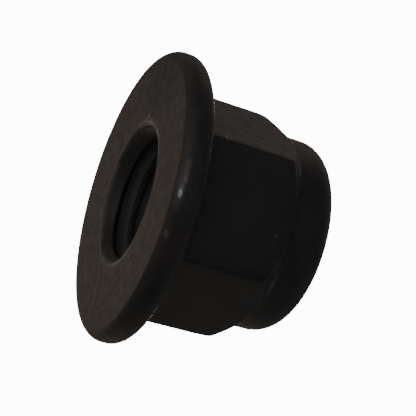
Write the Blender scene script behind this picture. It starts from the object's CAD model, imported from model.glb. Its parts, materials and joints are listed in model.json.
import json
from math import acos, atan2, ceil, cos, pi, radians, sin, sqrt, tan

import bpy
from mathutils import Matrix, Vector


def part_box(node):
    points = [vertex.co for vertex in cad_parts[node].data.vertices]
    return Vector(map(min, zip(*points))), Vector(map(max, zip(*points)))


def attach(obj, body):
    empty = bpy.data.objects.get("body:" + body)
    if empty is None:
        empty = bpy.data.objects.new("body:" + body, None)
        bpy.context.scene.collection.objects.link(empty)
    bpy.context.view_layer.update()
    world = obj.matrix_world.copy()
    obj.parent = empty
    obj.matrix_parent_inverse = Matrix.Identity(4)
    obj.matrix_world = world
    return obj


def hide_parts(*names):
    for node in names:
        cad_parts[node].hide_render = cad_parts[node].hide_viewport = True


# A black flange lock nut, M12 x 1.75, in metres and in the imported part's frame. The bearing face
# lies at z = 0, +Z runs up the thread's axis, and two flats of the hexagon face -Y and +Y.
#
# The steel body is one closed skin. It is made of columns, one for each direction round the axis,
# and each column is the body's section in that direction: out along the bearing face, round the
# rim, up the hexagon and the collar, in over the rolled lip and back down the pocket and the bore.
# The thread's rows climb with its helix.

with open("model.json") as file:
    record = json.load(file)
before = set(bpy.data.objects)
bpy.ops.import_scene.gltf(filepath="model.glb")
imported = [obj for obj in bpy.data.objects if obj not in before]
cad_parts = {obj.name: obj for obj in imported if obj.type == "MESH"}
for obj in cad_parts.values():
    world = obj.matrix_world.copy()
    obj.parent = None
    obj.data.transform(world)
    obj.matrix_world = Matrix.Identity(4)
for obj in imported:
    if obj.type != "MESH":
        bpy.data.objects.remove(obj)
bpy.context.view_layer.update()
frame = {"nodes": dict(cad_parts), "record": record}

MM = 0.001
HAIR = 0.004 * MM  # what lies closer than this counts as touching


def place(radius, height):
    """A point of a section."""
    return Vector((radius, height))


# ---- Sizes, from the frame where it holds them ----------------------------------------------------

mounts = {mount["name"]: mount for mount in frame["record"]["mounts"]}
body_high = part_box("nut_body")[1]
ring_low, ring_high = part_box("nylon_ring")

nut_h = body_high.z
flange_r = body_high.x
flat_r = mounts["back_flat"]["pos_m"][1]
core_r = mounts["thread"]["dims"]["r_mm"] * MM
ring_seat_h = ring_low.z
ring_outer_r = ring_high.x

# Thread
thread_r = 6 * MM
thread_pitch = 1.75 * MM
thread_turn = 0.22  # where its crest starts, in turns
crest_share = 1 / 8  # half of the crest's flat, in pitches
root_share = 1 / 16  # half of the root's flat
exit_r = 6.2 * MM

# Countersink and its mouth
countersink_r = 6.27 * MM
countersink_slope = radians(45)  # its side climbs as fast as it closes in, which countersunk_r relies on
countersink_blend = 2.5 * MM  # how it curves into the thread's core
mouth_round = 0.35 * MM
worn_ring = 0.5 * MM  # width of the bearing face that is rubbed round the mouth
worn_cone = 0.4 * MM  # the same inside the mouth
mouth_wear = 0.22

# Flange
face_dish = 0.14 * MM  # the bearing face is slightly hollow: how far its mouth lies above its edge
flange_edge_h = 2.2 * MM
flange_slope = tan(radians(18))
face_r = flange_r - 0.85 * MM  # edge of the flat bearing face
face_edge = 0.1 * MM
rim_front = 1.2 * MM
rim_back = 1.0 * MM

# Hexagon
sixth = radians(60)  # a sixth of a turn
hex_edge = 0.45 * MM
edge_fall = 0.05 * MM  # how far the flats fall away towards their edges
edge_reach = 1.3 * MM
end_fall = 0.09 * MM  # the same towards their ends
end_reach = 1.6 * MM
row_crowding = 1.5  # above 1, rows lie closer together towards the turned end
hex_root = 0.4 * MM
hex_end_edge = 0.25 * MM
hex_end_corner = 0.6 * MM  # the same on the corners
hex_end_wear = 0.08

# Turned end of the hexagon
chamfer_angle = radians(42)
corner_sag = 0.34 * MM  # how unevenly the die filled the corners
corner_sag_way = radians(330)
corner_sag_level = 0.45  # share of it taken off all round: one side lies lower, the other higher
corner_sag_reach = 1.5 * MM
neck_share = 0.7  # the most of the turned end that goes to the neck's rows
short_way = 0.05 * MM  # a step along the turned end, which gives its direction

# Collar and lip
collar_r = flat_r - 0.2 * MM
neck_h = nut_h - 4.1 * MM
neck_round = 0.8 * MM
roll_round = 2.3 * MM
pocket_gap = 0.03 * MM
pocket_r = ring_outer_r + pocket_gap
pocket_top_h = ring_high.z + pocket_gap
pocket_round = 1.25 * MM
lip_hole_r = 6.15 * MM
lip_edge = 0.25 * MM
lip_wear = 0.2

# Where the mouth is rubbed more than elsewhere, and by how much
MOUTH_RUBS = [(radians(207), 0.5), (radians(335), 0.45)]
rub_focus = 8  # the higher, the shorter these places are

# How deep in the bore a point lies. The mesh stores it as "cut", and the steel's colour follows it.
OUTSIDE, CONE, CREST, ROOT = 0.0, 0.3, 1.0, 2.0
bore_start_h = 0.8 * MM  # where the countersink's colour starts to turn into the thread's
bore_blend = 1.6 * MM

# ---- Sizes that follow ----------------------------------------------------------------------------

# The round on the hexagon's corners
corner_centre = (flat_r - hex_edge) / cos(sixth / 2)
corner_half = atan2(hex_edge / 2, corner_centre + hex_edge * cos(sixth / 2))

# The turned end: the neck's hollow at the foot of the collar, then the end chamfer
neck_turn = pi / 2 - chamfer_angle
neck_centre = place(collar_r + neck_round, neck_h + neck_round * tan(neck_turn / 2))
neck_length = neck_round * neck_turn
neck_end = neck_centre - place(cos(neck_turn), sin(neck_turn)) * neck_round
chamfer_way = place(cos(chamfer_angle), -sin(chamfer_angle))

# The countersink, which curves into the thread's core
blend_start_r = core_r + countersink_blend * (1 - cos(countersink_slope))
blend_start_h = face_dish + countersink_r - blend_start_r
blend_height = countersink_blend * sin(countersink_slope)
blend_centre = place(core_r + countersink_blend, blend_start_h + blend_height)

# The thread's ends
thread_low = face_dish + countersink_r - thread_r
thread_high = ring_seat_h - (exit_r - thread_r)

# ---- Section of the body --------------------------------------------------------------------------

# A section is a list of points, each with its wear, from 0 to 1.


def unworn(points):
    """Points without wear."""
    return [(point, 0.0) for point in points]


def straight(start, end, steps):
    """The points that divide a straight run, without its ends."""
    return unworn(start.lerp(end, step / steps) for step in range(1, steps))


def rounded(before, at, after, radius, steps, wear=0.0):
    """The points of a round between the two runs that meet at a corner. Its middle is worn."""
    inward = (before - at).normalized()
    outward = (after - at).normalized()
    half = inward.angle(outward) / 2
    centre = at + (inward + outward).normalized() * (radius / sin(half))
    first = (at + inward * (radius / tan(half)) - centre).normalized()
    last = (at + outward * (radius / tan(half)) - centre).normalized()
    shares = [step / steps for step in range(steps + 1)]
    return [(centre + first.slerp(last, share) * radius, wear * sin(pi * share)) for share in shares]


def from_corner(angle):
    """Angle from the nearest corner of the hexagon. One corner points along +X."""
    return abs((angle + sixth / 2) % sixth - sixth / 2)


def beside_edge(distance):
    """How far a flat has fallen away at a distance from the corner, without a crease on it."""
    crown = hex_edge
    slope = 1 - crown / edge_reach
    if distance < crown:
        return edge_fall * (slope**2 + slope / (edge_reach * crown) * (crown**2 - distance**2))
    return edge_fall * max(1 - distance / edge_reach, 0) ** 2


def hexagon_r(angle):
    """Radius of the hexagon's outline in a direction."""
    off = from_corner(angle)
    fall = beside_edge(flat_r * (tan(sixth / 2) - tan(sixth / 2 - off)))
    if off < corner_half:
        across = corner_centre * sin(off)
        return corner_centre * cos(off) + sqrt(hex_edge**2 - across**2) - fall
    return flat_r / cos(sixth / 2 - off) - fall


def turned_end(distance, angle):
    """A point of the turned end, by its distance from the foot of the collar's wall."""
    if distance < neck_length:
        turn = distance / neck_round
        return neck_centre - place(cos(turn), sin(turn)) * neck_round
    beyond = distance - neck_length
    unevenness = ((1 + cos(angle - corner_sag_way)) / 2) ** 2 - corner_sag_level
    sag = corner_sag * unevenness * min(beyond / corner_sag_reach, 1)
    return neck_end + chamfer_way * beyond - place(0, sag)


def turned_distance(radius):
    """How far along the turned end a radius lies."""
    if radius < neck_end.x:
        return acos((neck_centre.x - radius) / neck_round) * neck_round
    return neck_length + (radius - neck_end.x) / chamfer_way.x


def worn_mouth(angle):
    """Wear of the mouth's edge in a direction."""
    return mouth_wear + sum(extra * max(cos(angle - way), 0) ** rub_focus for way, extra in MOUTH_RUBS)


def countersink_edge(angle):
    """The round at the countersink's mouth, where it meets the bearing face. It is worn."""
    inner = place(thread_r, thread_low)
    mouth = place(countersink_r, face_dish)
    edge = rounded(inner, mouth, place(face_r, 0), mouth_round, steps=6)
    return [(point, worn_mouth(angle)) for point, _ in edge]


def countersink_section(angle):
    """From the thread's first root down the countersink to its mouth."""
    inner = place(thread_r, thread_low)
    edge = countersink_edge(angle)
    edge_start = edge[0][0]
    cone = []
    for point, _ in straight(inner, edge_start, steps=6):
        share = max(1 - (edge_start - point).length / worn_cone, 0)
        cone.append((point, worn_mouth(angle) * share**2))
    return unworn([inner]) + cone + edge


def on_flange_back(radius):
    """The point of the flange's sloped back at a radius."""
    return place(radius, flange_edge_h + (flange_r - radius) * flange_slope)


def face_section(angle):
    """From the countersink's mouth out to the edge of the bearing face."""
    mouth = countersink_edge(angle)[-1][0]
    edge = place(face_r, 0)
    worn_to = mouth.lerp(edge, worn_ring / (edge.x - mouth.x))
    ring_steps = 8
    points = []
    for step in range(1, ring_steps):
        share = step / ring_steps
        points.append((mouth.lerp(worn_to, share), worn_mouth(angle) * (1 - share) ** 2))
    return points + straight(worn_to, edge, steps=14)


def rim_section(angle):
    """Round the rim, from the edge of the bearing face to the flange's back."""
    mouth = countersink_edge(angle)[-1][0]
    edge = place(face_r, 0)
    steepest = acos(1 - (flange_r - face_r) / rim_front)
    arc_centre = place(flange_r - rim_front, rim_front * sin(steepest))
    arc_way = place(sin(steepest), cos(steepest))
    arc_steps = 14
    arc = []
    for step in range(1, arc_steps + 1):
        turn = steepest * (1 - step / arc_steps)
        arc.append(arc_centre + place(cos(turn), -sin(turn)) * rim_front)
    points = rounded(mouth, edge, edge + arc_way * MM, face_edge, steps=3)
    points += unworn(arc)
    slope_start = on_flange_back(flange_r - rim_back)
    points += rounded(place(flange_r, 0), on_flange_back(flange_r), slope_start, rim_back, steps=10)
    return points


def flat_section(radius, low_h, high_h, end_h):
    """Up the hexagon's side, which falls away towards its end."""
    steps = 24
    points = []
    for step in range(1, steps):
        height = low_h + (high_h - low_h) * (1 - (1 - step / steps) ** row_crowding)
        share = max(1 - (end_h - height) / end_reach, 0)
        points.append(place(radius - end_fall * share**2, height))
    return unworn(points)


def turned_section(start, angle):
    """Up the turned end, from a distance along it to the collar's wall."""
    neck = min(neck_length, neck_share * start)
    chamfer_steps = 5
    neck_steps = 8
    ways = [start + (neck - start) * step / chamfer_steps for step in range(1, chamfer_steps)]
    ways += [neck * (1 - step / neck_steps) for step in range(neck_steps + 1)]
    return unworn(turned_end(way, angle) for way in ways)


def hexagon_section(angle):
    """Up the flange's back, the hexagon and the turned end, as far as the collar's wall."""
    radius = hexagon_r(angle)
    reach = turned_distance(radius - end_fall)
    end = turned_end(reach, angle)
    root = on_flange_back(radius)
    root_points = rounded(on_flange_back(flange_r), root, place(radius, end.y), hex_root, steps=5)

    below = end + place(2 * end_fall / end_reach, -1) * MM
    beyond = turned_end(reach - short_way, angle)
    corner_share = (radius - flat_r) / (hexagon_r(0) - flat_r)
    end_edge = hex_end_edge + (hex_end_corner - hex_end_edge) * corner_share
    end_points = rounded(below, end, beyond, end_edge, steps=4, wear=hex_end_wear)

    points = straight(on_flange_back(flange_r - rim_back), root_points[0][0], steps=6)
    points += root_points
    points += flat_section(radius, root_points[-1][0].y, end_points[0][0].y, end.y)
    points += end_points
    points += turned_section(turned_distance(end_points[-1][0].x), angle)
    return points


def collar_section():
    """Up the collar, in over the rolled end, and down the lip and the pocket to the ring's seat."""
    foot = place(collar_r, neck_centre.y)
    shoulder = place(collar_r, nut_h)
    lip_top = place(lip_hole_r, nut_h)
    lip_under = place(lip_hole_r, pocket_top_h)
    pocket = place(pocket_r, pocket_top_h)
    seat = place(pocket_r, ring_seat_h)
    seat_edge = place(exit_r, ring_seat_h)
    bore_end = place(thread_r, thread_high)
    roll = rounded(foot, shoulder, lip_top, roll_round, steps=16)
    points = straight(foot, roll[0][0], steps=4)
    points += roll
    points += rounded(shoulder, lip_top, lip_under, lip_edge, steps=6, wear=lip_wear)
    points += unworn([lip_top.lerp(lip_under, 2 / 3), lip_under])
    points += rounded(lip_under, pocket, seat, pocket_round, steps=5)
    points += unworn([pocket.lerp(seat, 2 / 3), seat])
    points += straight(seat, seat_edge, steps=3)
    points += unworn([seat_edge, bore_end])
    return points


# ---- Thread ---------------------------------------------------------------------------------------

# Rows across one pitch, from one crest's middle to the next, in pitches
half_rows = [0, 0.055, 0.108, 0.142, 0.21, 0.28, 0.35, 0.42, 0.45]
pitch_rows = half_rows + [0.5] + [1 - share for share in reversed(half_rows[1:])]
thread_rows = (ceil(thread_high / thread_pitch) + 1) * len(pitch_rows) + 1


def thread_profile_r(height, angle):
    """Radius of the thread's surface at a height, in a direction."""
    turns = height / thread_pitch - angle / (2 * pi) - thread_turn
    from_crest = abs((turns + 0.5) % 1 - 0.5)
    depth = (from_crest - crest_share) / (0.5 - crest_share - root_share)
    return core_r + (thread_r - core_r) * min(max(depth, 0), 1)


def countersunk_r(height):
    """Radius of the countersink, a cone that curves into the thread's core."""
    from_centre = blend_centre.y - height
    if from_centre < 0:
        return core_r
    if from_centre < blend_height:
        return blend_centre.x - sqrt(countersink_blend**2 - from_centre**2)
    return countersink_r + face_dish - height


def bore_r(height, angle):
    """Radius of the bore, cut by the countersink and by the chamfer at its far end."""
    end_chamfer = exit_r - (ring_seat_h - height)
    return max(thread_profile_r(height, angle), countersunk_r(height), end_chamfer)


def thread_row_h(row, angle):
    """Height of one of the thread's rows in a direction, held within the thread."""
    pitches = row // len(pitch_rows) + pitch_rows[row % len(pitch_rows)]
    height = (pitches - 1 + thread_turn + angle / (2 * pi)) * thread_pitch
    if height < thread_low + HAIR:
        return thread_low
    return thread_high if height > thread_high - HAIR else height


# ---- Skin of the body -----------------------------------------------------------------------------


def column_angles():
    """Directions of the columns: close together on the hexagon's corners, even in between."""
    corner_steps = 3
    flat_steps = 44
    angles = []
    for corner in range(6):
        middle = sixth * corner
        for step in range(-corner_steps, corner_steps + 1):
            turn = sixth / 2 * step / corner_steps
            angles.append(middle + atan2(hex_edge * sin(turn), corner_centre + hex_edge * cos(turn)))
        width = sixth - 2 * corner_half
        for step in range(1, flat_steps):
            angles.append(middle + corner_half + width * step / flat_steps)
    return angles


def how_deep(point):
    """Where in the bore a point lies, from OUTSIDE over CONE and CREST to ROOT."""
    if point.x > countersink_r or point.y > ring_seat_h - HAIR:
        return OUTSIDE
    groove = min((point.x - core_r) / (thread_r - core_r), 1)
    inside = min(max((point.y - bore_start_h) / bore_blend, 0), 1)
    return CONE + (CREST - CONE + (ROOT - CREST) * groove) * inside


class Skin:
    """The steel body's vertices and faces, with each vertex's wear and how deep it lies."""

    def __init__(self, angles):
        self.angles = angles
        self.vertices = []
        self.faces = []
        self.stored = {"wear": [], "cut": []}
        self.columns = []  # each column's plain rows
        self.outside_rows = 0  # how many of them come before the thread
        self.thread_vertices = {}

    def add(self, point, wear, angle):
        """Add a vertex and return its number."""
        self.vertices.append((point.x * cos(angle), point.x * sin(angle), point.y))
        self.stored["wear"].append(wear)
        self.stored["cut"].append(how_deep(point))
        return len(self.vertices) - 1

    def add_plain_rows(self):
        """Everything but the thread: from the bearing face round to its far end, then the countersink."""
        for angle in self.angles:
            outside = face_section(angle) + rim_section(angle) + hexagon_section(angle) + collar_section()
            section = outside + countersink_section(angle)
            self.columns.append([self.add(point, wear, angle) for point, wear in section])
        self.outside_rows = len(outside)
        for here, there in zip(self.columns, self.columns[1:] + self.columns[:1]):
            for row in range(len(here)):
                after = (row + 1) % len(here)
                if after != self.outside_rows:
                    self.faces.append((here[row], there[row], there[after], here[after]))

    def thread_vertex(self, column, row):
        """The vertex of a thread row on a column. Rows that reach an end of the thread share it."""
        angle = self.angles[column % len(self.angles)] + 2 * pi * (column // len(self.angles))
        height = thread_row_h(row, angle)
        if column == len(self.angles):
            column = 0
            row += len(pitch_rows)
        if height == thread_low:
            return self.columns[column][self.outside_rows]
        if height == thread_high:
            return self.columns[column][self.outside_rows - 1]
        if (column, row) not in self.thread_vertices:
            point = place(bore_r(height, angle), height)
            self.thread_vertices[column, row] = self.add(point, 0.0, angle)
        return self.thread_vertices[column, row]

    def add_thread_rows(self):
        """The thread. Its faces lose a side, or are left out, where its ends cut them off."""
        for column in range(len(self.angles)):
            for row in range(thread_rows):
                spots = [(column, row + 1), (column + 1, row + 1), (column + 1, row), (column, row)]
                corners = [self.thread_vertex(*spot) for spot in spots]
                face = [corner for number, corner in enumerate(corners) if corner != corners[number - 1]]
                if len(set(face)) > 2:
                    self.faces.append(face)


def new_object(name, data):
    """An object in the scene with some data."""
    made = bpy.data.objects.new(name, data)
    bpy.context.scene.collection.objects.link(made)
    return made


def make_body():
    """The steel body with its thread."""
    skin = Skin(column_angles())
    skin.add_plain_rows()
    skin.add_thread_rows()
    mesh = bpy.data.meshes.new("flange_nut")
    mesh.from_pydata(skin.vertices, [], skin.faces)
    mesh.update()
    mesh.shade_smooth()
    for name, values in skin.stored.items():
        mesh.attributes.new(name, "FLOAT", "POINT").data.foreach_set("value", values)
    return new_object("flange_nut", mesh)


# ---- Nodes of materials ---------------------------------------------------------------------------


def new_material(name):
    """A material with the usual nodes."""
    material = bpy.data.materials.new(name)
    material.use_nodes = True
    return material


def plug(material, socket, value):
    """Link an output to a socket, or set the socket to a value."""
    if isinstance(value, bpy.types.NodeSocket):
        material.node_tree.links.new(value, socket)
    else:
        socket.default_value = value


def add_node(material, kind, inputs=None, **settings):
    """A node with its settings, and its inputs set to values or linked to outputs."""
    node = material.node_tree.nodes.new(kind)
    for name, value in settings.items():
        setattr(node, name, value)
    for name, value in (inputs or {}).items():
        plug(material, node.inputs[name], value)
    return node


def object_space(material):
    """Places in the object's own frame, in metres."""
    return add_node(material, "ShaderNodeTexCoord").outputs["Object"]


def clouds(material, space, size, detail):
    """Soft random patches of about a size, from 0 to 1."""
    inputs = {"Vector": space, "Scale": 1 / size, "Detail": detail}
    return add_node(material, "ShaderNodeTexNoise", inputs).outputs["Fac"]


def spread(material, value, low, high, to_low=0.0, to_high=1.0):
    """A value stretched from one range to another, with soft ends."""
    inputs = {"Value": value, "From Min": low, "From Max": high, "To Min": to_low, "To Max": to_high}
    node = add_node(material, "ShaderNodeMapRange", inputs, interpolation_type="SMOOTHSTEP")
    return node.outputs["Result"]


def combine(material, operation, first, second):
    """Two values added, multiplied or the like."""
    node = add_node(material, "ShaderNodeMath", {0: first, 1: second}, operation=operation)
    return node.outputs[0]


def tint(material, share, first, second):
    """One colour turning into another as the share goes from 0 to 1."""
    return add_node(material, "ShaderNodeMix", {0: share, 6: first, 7: second}, data_type="RGBA").outputs[2]


def stored(material, name):
    """A value that the mesh stores at its vertices."""
    return add_node(material, "ShaderNodeAttribute", attribute_name=name).outputs["Fac"]


def bump(material, height, depth, normal=None):
    """The surface's normal over a relief of some depth, on top of another relief's if one is given."""
    inputs = {"Strength": 1.0, "Distance": depth, "Height": height}
    if normal is not None:
        inputs["Normal"] = normal
    return add_node(material, "ShaderNodeBump", inputs).outputs[0]


def ball(material, space, centre, radii):
    """A soft ball in space, given in millimetres, from 1 in its middle to 0 at its radii."""
    inputs = {
        "Vector": space,
        "Location": [length * MM for length in centre],
        "Scale": [length * MM for length in radii],
    }
    local = add_node(material, "ShaderNodeMapping", inputs, vector_type="TEXTURE").outputs[0]
    inputs = {"Vector": local}
    return add_node(material, "ShaderNodeTexGradient", inputs, gradient_type="SPHERICAL").outputs["Fac"]


def mark(material, space, centre, radii, strength):
    """How strong a mark is at each point: soft at its edge, and at its full strength further in."""
    full_from = 0.7
    return spread(material, ball(material, space, centre, radii), 0.0, full_from, to_high=strength)


# ---- Black steel ----------------------------------------------------------------------------------

# Knocks and scuffs on the nut: centre and radii in millimetres, and strength. Most of the centres
# were found by casting rays through points of the photo. Radii and strengths were set by hand.
MARKS = [
    # A scrape across the rim
    ((0.7, -12.58, 0.41), (0.55, 0.29, 0.29), 1.0),
    ((0.26, -12.59, 0.42), (0.55, 0.3, 0.3), 0.5),
    ((-0.48, -12.67, 0.52), (0.8, 0.33, 0.3), 0.35),
    ((-1.0, -12.62, 0.5), (0.8, 0.3, 0.3), 0.22),
    ((-1.66, -12.56, 0.5), (0.7, 0.3, 0.3), 0.2),
    ((0.1, -12.5, 0.4), (2.5, 0.6, 0.5), 0.12),
    # Beside the mouth
    ((-6.6, -0.1, 0.13), (0.3, 0.4, 0.2), 0.3),
    ((-6.77, -0.48, 0.13), (0.3, 0.3, 0.2), 0.4),
    ((6.25, -5.74, 0.09), (0.25, 0.3, 0.2), 0.35),
    # The rest of the bearing face
    ((7.16, 6.43, 0.0), (0.25, 0.4, 0.2), 0.3),
    ((6.7, 6.85, 0.0), (0.25, 0.3, 0.2), 0.2),
    ((4.06, 7.86, 0.0), (0.3, 0.4, 0.2), 0.2),
    ((8.3, -4.89, 0.0), (0.3, 0.2, 0.2), 0.2),
    ((10.5, -5.57, 0.0), (0.25, 0.3, 0.2), 0.15),
    ((-6.29, -8.35, 0.0), (0.4, 0.3, 0.2), 0.17),
    ((-7.35, -7.41, 0.0), (0.7, 0.3, 0.2), 0.12),
    ((-10.51, 3.77, 0.0), (0.3, 0.5, 0.2), 0.17),
    ((-9.56, 4.68, 0.0), (0.3, 0.8, 0.2), 0.12),
    # The rest of the rim
    ((3.86, -11.9, 0.32), (0.5, 0.3, 0.3), 0.2),
    ((-4.58, -11.6, 2.25), (0.3, 0.3, 0.3), 0.23),
    ((-3.26, -12.22, 2.07), (0.3, 0.3, 0.3), 0.17),
    # The hexagon
    ((-5.38, -8.61, 4.56), (0.5, 0.7, 0.16), 0.4),
    ((-6.03, -7.51, 4.87), (0.5, 0.5, 0.14), 0.33),
    ((-5.95, -6.85, 11.65), (1.0, 1.3, 0.4), 0.33),
    ((-4.96, -7.36, 11.95), (1.2, 1.2, 0.3), 0.28),
    ((3.53, -8.48, 11.55), (1.6, 0.8, 0.3), 0.15),
    ((5.04, -7.34, 11.87), (1.5, 1.1, 0.35), 0.3),
    ((1.23, -8.96, 10.5), (0.25, 0.2, 0.25), 0.15),
]

# Places where the coat is darker, written in the same way. All of them were set by hand.
DULL = [
    ((-9.8, -2.5, 0.0), (4.5, 6.0, 1.0), 0.65),
    ((-5.6, 1.0, 0.8), (1.3, 3.0, 1.0), 0.5),
    ((4.9, -8.9, 9.5), (0.9, 0.9, 4.5), 0.45),
]

COAT_DARK = (0.023, 0.0215, 0.02, 1)
COAT_LIGHT = (0.038, 0.0345, 0.031, 1)
COAT_BROWN = (0.04, 0.033, 0.027, 1)
DULL_COAT = (0.004, 0.004, 0.004, 1)
RUBBED_STEEL = (0.36, 0.346, 0.318, 1)
BRIGHT_STEEL = (0.62, 0.595, 0.57, 1)

# The bore's colours: between which two depths the steel turns into each
BORE = [
    (OUTSIDE, CONE, (0.024, 0.0235, 0.0225, 1)),
    (CONE, CREST, (0.06, 0.058, 0.055, 1)),
    (CREST, ROOT, (0.2, 0.195, 0.185, 1)),
]


def coat(material, patches, mottle):
    """Colour of the phosphate coat: dark, mottled, a little browner in patches."""
    some_patches = combine(material, "MULTIPLY", patches, 0.4)
    some_mottle = combine(material, "MULTIPLY", mottle, 0.6)
    tone = combine(material, "ADD", some_patches, some_mottle)
    colour = tint(material, spread(material, tone, 0.36, 0.64), COAT_DARK, COAT_LIGHT)
    return tint(material, spread(material, patches, 0.5, 0.75, to_high=0.6), colour, COAT_BROWN)


def in_the_bore(material, colour):
    """A colour that turns into the bore's further in."""
    depth = stored(material, "cut")
    for start, end, bore_colour in BORE:
        colour = tint(material, spread(material, depth, start, end), colour, bore_colour)
    return colour


def dulled(material, space, colour):
    """A colour that is darker where the coat is dull."""
    for place_and_strength in DULL:
        colour = tint(material, mark(material, space, *place_and_strength), colour, DULL_COAT)
    return colour


def rubbed_edges(material, mottle):
    """How far the edges are rubbed bare, which is patchy."""
    patchy = spread(material, mottle, 0.36, 0.62, to_low=0.25)
    return combine(material, "MULTIPLY", stored(material, "wear"), patchy)


def knocks(material, space, grain):
    """How bare the marks are, a little less so in the hollows of the grain."""
    strongest = mark(material, space, *MARKS[0])
    for place_and_strength in MARKS[1:]:
        another = mark(material, space, *place_and_strength)
        strongest = combine(material, "MAXIMUM", strongest, another)
    return combine(material, "MULTIPLY", strongest, spread(material, grain, 0.3, 0.6, to_low=0.6))


def black_steel():
    """Phosphated steel, rubbed bare on edges and marks."""
    material = new_material("black_steel")
    shader = material.node_tree.nodes["Principled BSDF"]
    space = object_space(material)
    patches = clouds(material, space, size=4.5 * MM, detail=2.0)
    mottle = clouds(material, space, size=0.9 * MM, detail=4.0)
    grain = clouds(material, space, size=0.14 * MM, detail=2.0)

    colour = in_the_bore(material, coat(material, patches, mottle))
    colour = dulled(material, space, colour)
    marks = knocks(material, space, grain)
    bare = combine(material, "MAXIMUM", rubbed_edges(material, mottle), marks)
    colour = tint(material, bare, colour, RUBBED_STEEL)
    colour = tint(material, spread(material, marks, 0.5, 0.85), colour, BRIGHT_STEEL)
    plug(material, shader.inputs["Base Color"], colour)

    # Bare steel is a little shinier than the coat
    rough = spread(material, mottle, 0.3, 0.7, to_low=0.46, to_high=0.56)
    shine = spread(material, bare, 0.0, 1.0, to_high=0.16)
    plug(material, shader.inputs["Roughness"], combine(material, "SUBTRACT", rough, shine))

    # Grain of the coat over the slight unevenness of the forging
    uneven = bump(material, mottle, depth=0.025 * MM)
    plug(material, shader.inputs["Normal"], bump(material, grain, depth=0.007 * MM, normal=uneven))
    return material


# ---- White nylon ----------------------------------------------------------------------------------

NYLON_DARK = (0.72, 0.7, 0.62, 1)
NYLON_LIGHT = (0.78, 0.765, 0.69, 1)


def white_nylon():
    """Natural nylon, a little cloudy and see-through."""
    material = new_material("white_nylon")
    shader = material.node_tree.nodes["Principled BSDF"]
    space = object_space(material)
    haze = clouds(material, space, size=3 * MM, detail=2.0)
    grain = clouds(material, space, size=0.2 * MM, detail=3.0)
    colour = tint(material, spread(material, haze, 0.35, 0.65), NYLON_DARK, NYLON_LIGHT)
    rough = spread(material, haze, 0.3, 0.7, to_low=0.36, to_high=0.46)
    plug(material, shader.inputs["Base Color"], colour)
    plug(material, shader.inputs["Roughness"], rough)
    plug(material, shader.inputs["Subsurface Weight"], 0.25)
    plug(material, shader.inputs["Subsurface Radius"], (1, 0.9, 0.7))
    plug(material, shader.inputs["Subsurface Scale"], 0.8 * MM)
    plug(material, shader.inputs["Normal"], bump(material, grain, depth=0.006 * MM))
    return material


# ---- Pieces ---------------------------------------------------------------------------------------

body = make_body()
body.data.materials.append(black_steel())
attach(body, "root")
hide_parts("nut_body")

nylon = frame["nodes"]["nylon_ring"]
nylon.data.materials.clear()
nylon.data.materials.append(white_nylon())

# ---- Studio ---------------------------------------------------------------------------------------

WHITE = 16.0  # the background, as the camera sees it
AMBIENT = 0.1  # the same as light
PALE = 10.0  # the floor, which only the camera sees
FLOOR_SIDE = 4000 * MM
FLOOR_GAP = 0.02 * MM  # between the floor and the bearing face
FADE = 170  # how far out the floor fades into the background, in millimetres

# The camera, from a fit to the photo's outline. The azimuth was changed by hand after it.
SENSOR = 36  # width in millimetres, like the lens
LENS = 99.01
AZIMUTH = radians(8.45)  # from -Y towards +X
ELEVATION = radians(-20.294)
ROLL = radians(-106.416)
AIM = Vector((-0.6925, 0.0419, 7.5851)) * MM
DISTANCE = 100.515 * MM

# Softboxes all round the nut: the way to each, its distance, and its power in watts and colour.
# The power is what it would need 250 mm away.
#
# These ways and powers weren't set by eye. A fit to the brightness of the photo chose them from
# candidates all round the nut, apart from the powers of the last four, which were set by hand.
WARM = (1.0, 0.78, 0.62)
PLAIN = (1.0, 0.93, 0.85)
COOL = (0.83, 0.83, 1.0)
FAR = 250 * MM
NEAR = 70 * MM
BOX_SIZE = 0.6  # a softbox's side, in its distances
LIGHTS = {
    "beside_camera": ((-0.27, -0.77, -0.58), NEAR, 0.0365, COOL),
    "over_camera": ((-0.13, -0.98, 0.14), FAR, 0.0169, COOL),
    "face_front": ((-0.34, -0.35, -0.87), NEAR, 0.0431, PLAIN),
    "face_middle": ((-0.16, 0.17, -0.97), FAR, 0.0245, WARM),
    "back_low_left": ((-0.33, 0.78, -0.53), FAR, 0.0097, WARM),
    "back_low": ((0.06, 0.92, -0.39), FAR, 0.019, WARM),
    "back_low_right": ((0.46, 0.81, -0.36), FAR, 0.0033, WARM),
    "back_right": ((0.6, 0.78, -0.17), FAR, 0.0066, WARM),
    "right": ((0.76, 0.64, 0.08), FAR, 0.0094, WARM),
    "high_right": ((0.8, 0.29, 0.53), FAR, 0.0043, PLAIN),
    "left": ((-0.79, 0.55, -0.25), FAR, 0.0098, WARM),
    "back_left": ((-0.56, 0.8, 0.19), FAR, 0.0086, WARM),
    "high_left": ((-0.81, 0.34, 0.47), FAR, 0.0203, WARM),
    "back": ((-0.15, 0.93, 0.35), FAR, 0.35, PLAIN),
    "back_high_right": ((0.28, 0.89, 0.36), FAR, 0.01, PLAIN),
    "top_back": ((-0.27, 0.39, 0.88), FAR, 0.012, PLAIN),
    "top_right": ((0.52, -0.22, 0.82), FAR, 0.01, PLAIN),
}


def make_camera():
    """The camera that sees the nut as the photo does."""
    camera = new_object("camera", bpy.data.cameras.new("camera"))
    bpy.context.scene.camera = camera
    camera.data.sensor_width = SENSOR
    camera.data.lens = LENS
    camera.data.clip_start = 1 * MM
    level = cos(ELEVATION)
    back = Vector((sin(AZIMUTH) * level, -cos(AZIMUTH) * level, sin(ELEVATION)))
    camera.location = AIM + back * DISTANCE
    upright = (-back).to_track_quat("-Z", "Y").to_matrix()
    camera.rotation_euler = (upright @ Matrix.Rotation(-ROLL, 3, "Z")).to_euler()


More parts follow.
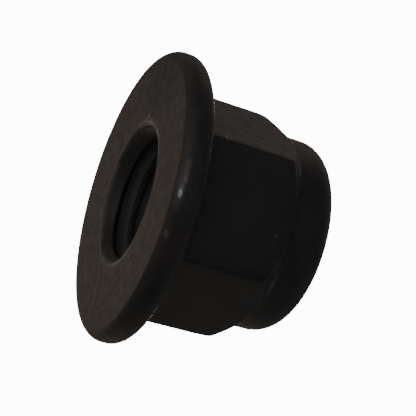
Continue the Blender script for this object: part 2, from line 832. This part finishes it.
def floor_material():
    """Pale near the nut and white further out. From below it can't be seen."""
    material = new_material("floor")
    material.node_tree.nodes.remove(material.node_tree.nodes["Principled BSDF"])
    pale = add_node(material, "ShaderNodeBsdfDiffuse", {"Color": (PALE, PALE, PALE, 1)}).outputs[0]
    white = add_node(material, "ShaderNodeEmission", {"Strength": WHITE}).outputs[0]
    near = ball(material, object_space(material), (0, 0, 0), (FADE, FADE, FADE))
    lit = {0: spread(material, near, 0.0, 0.85), 1: white, 2: pale}
    top = add_node(material, "ShaderNodeMixShader", lit).outputs[0]
    under = add_node(material, "ShaderNodeBsdfTransparent").outputs[0]
    below = add_node(material, "ShaderNodeNewGeometry").outputs["Backfacing"]
    seen = add_node(material, "ShaderNodeMixShader", {0: below, 1: top, 2: under}).outputs[0]
    plug(material, material.node_tree.nodes["Material Output"].inputs["Surface"], seen)
    return material


def make_floor():
    """A pale floor that fades into the white background. Nothing but the camera sees it."""
    mesh = bpy.data.meshes.new("floor")
    end = FLOOR_SIDE / 2
    corners = [(-end, -end, 0), (end, -end, 0), (end, end, 0), (-end, end, 0)]
    mesh.from_pydata(corners, [], [(0, 1, 2, 3)])
    mesh.materials.append(floor_material())
    floor = new_object("floor", mesh)
    floor.location.z = -FLOOR_GAP
    floor.visible_diffuse = False
    floor.visible_glossy = False
    floor.visible_shadow = False


def make_world():
    """A background that is white to the camera and dim as light."""
    world = bpy.data.worlds.new("studio")
    bpy.context.scene.world = world
    world.use_nodes = True
    nodes = world.node_tree.nodes
    links = world.node_tree.links
    dim = nodes["Background"]
    dim.inputs["Color"].default_value = (1, 1, 1, 1)
    dim.inputs["Strength"].default_value = AMBIENT
    white = nodes.new("ShaderNodeBackground")
    white.inputs["Strength"].default_value = WHITE
    path = nodes.new("ShaderNodeLightPath")
    mix = nodes.new("ShaderNodeMixShader")
    links.new(path.outputs["Is Camera Ray"], mix.inputs["Fac"])
    links.new(dim.outputs[0], mix.inputs[1])
    links.new(white.outputs[0], mix.inputs[2])
    links.new(mix.outputs[0], nodes["World Output"].inputs["Surface"])


def softbox(name, direction, distance, power, colour):
    """A square area light that faces the nut's middle from a direction."""
    light = bpy.data.lights.new(name, "AREA")
    light.size = BOX_SIZE * distance
    light.energy = power * (distance / FAR) ** 2
    light.color = colour
    lamp = new_object(name, light)
    way = Vector(direction).normalized()
    lamp.location = Vector((0, 0, nut_h / 2)) + way * distance
    lamp.rotation_euler = way.to_track_quat("Z", "Y").to_euler()


make_camera()
make_floor()
make_world()
for name, settings in LIGHTS.items():
    softbox(name, *settings)
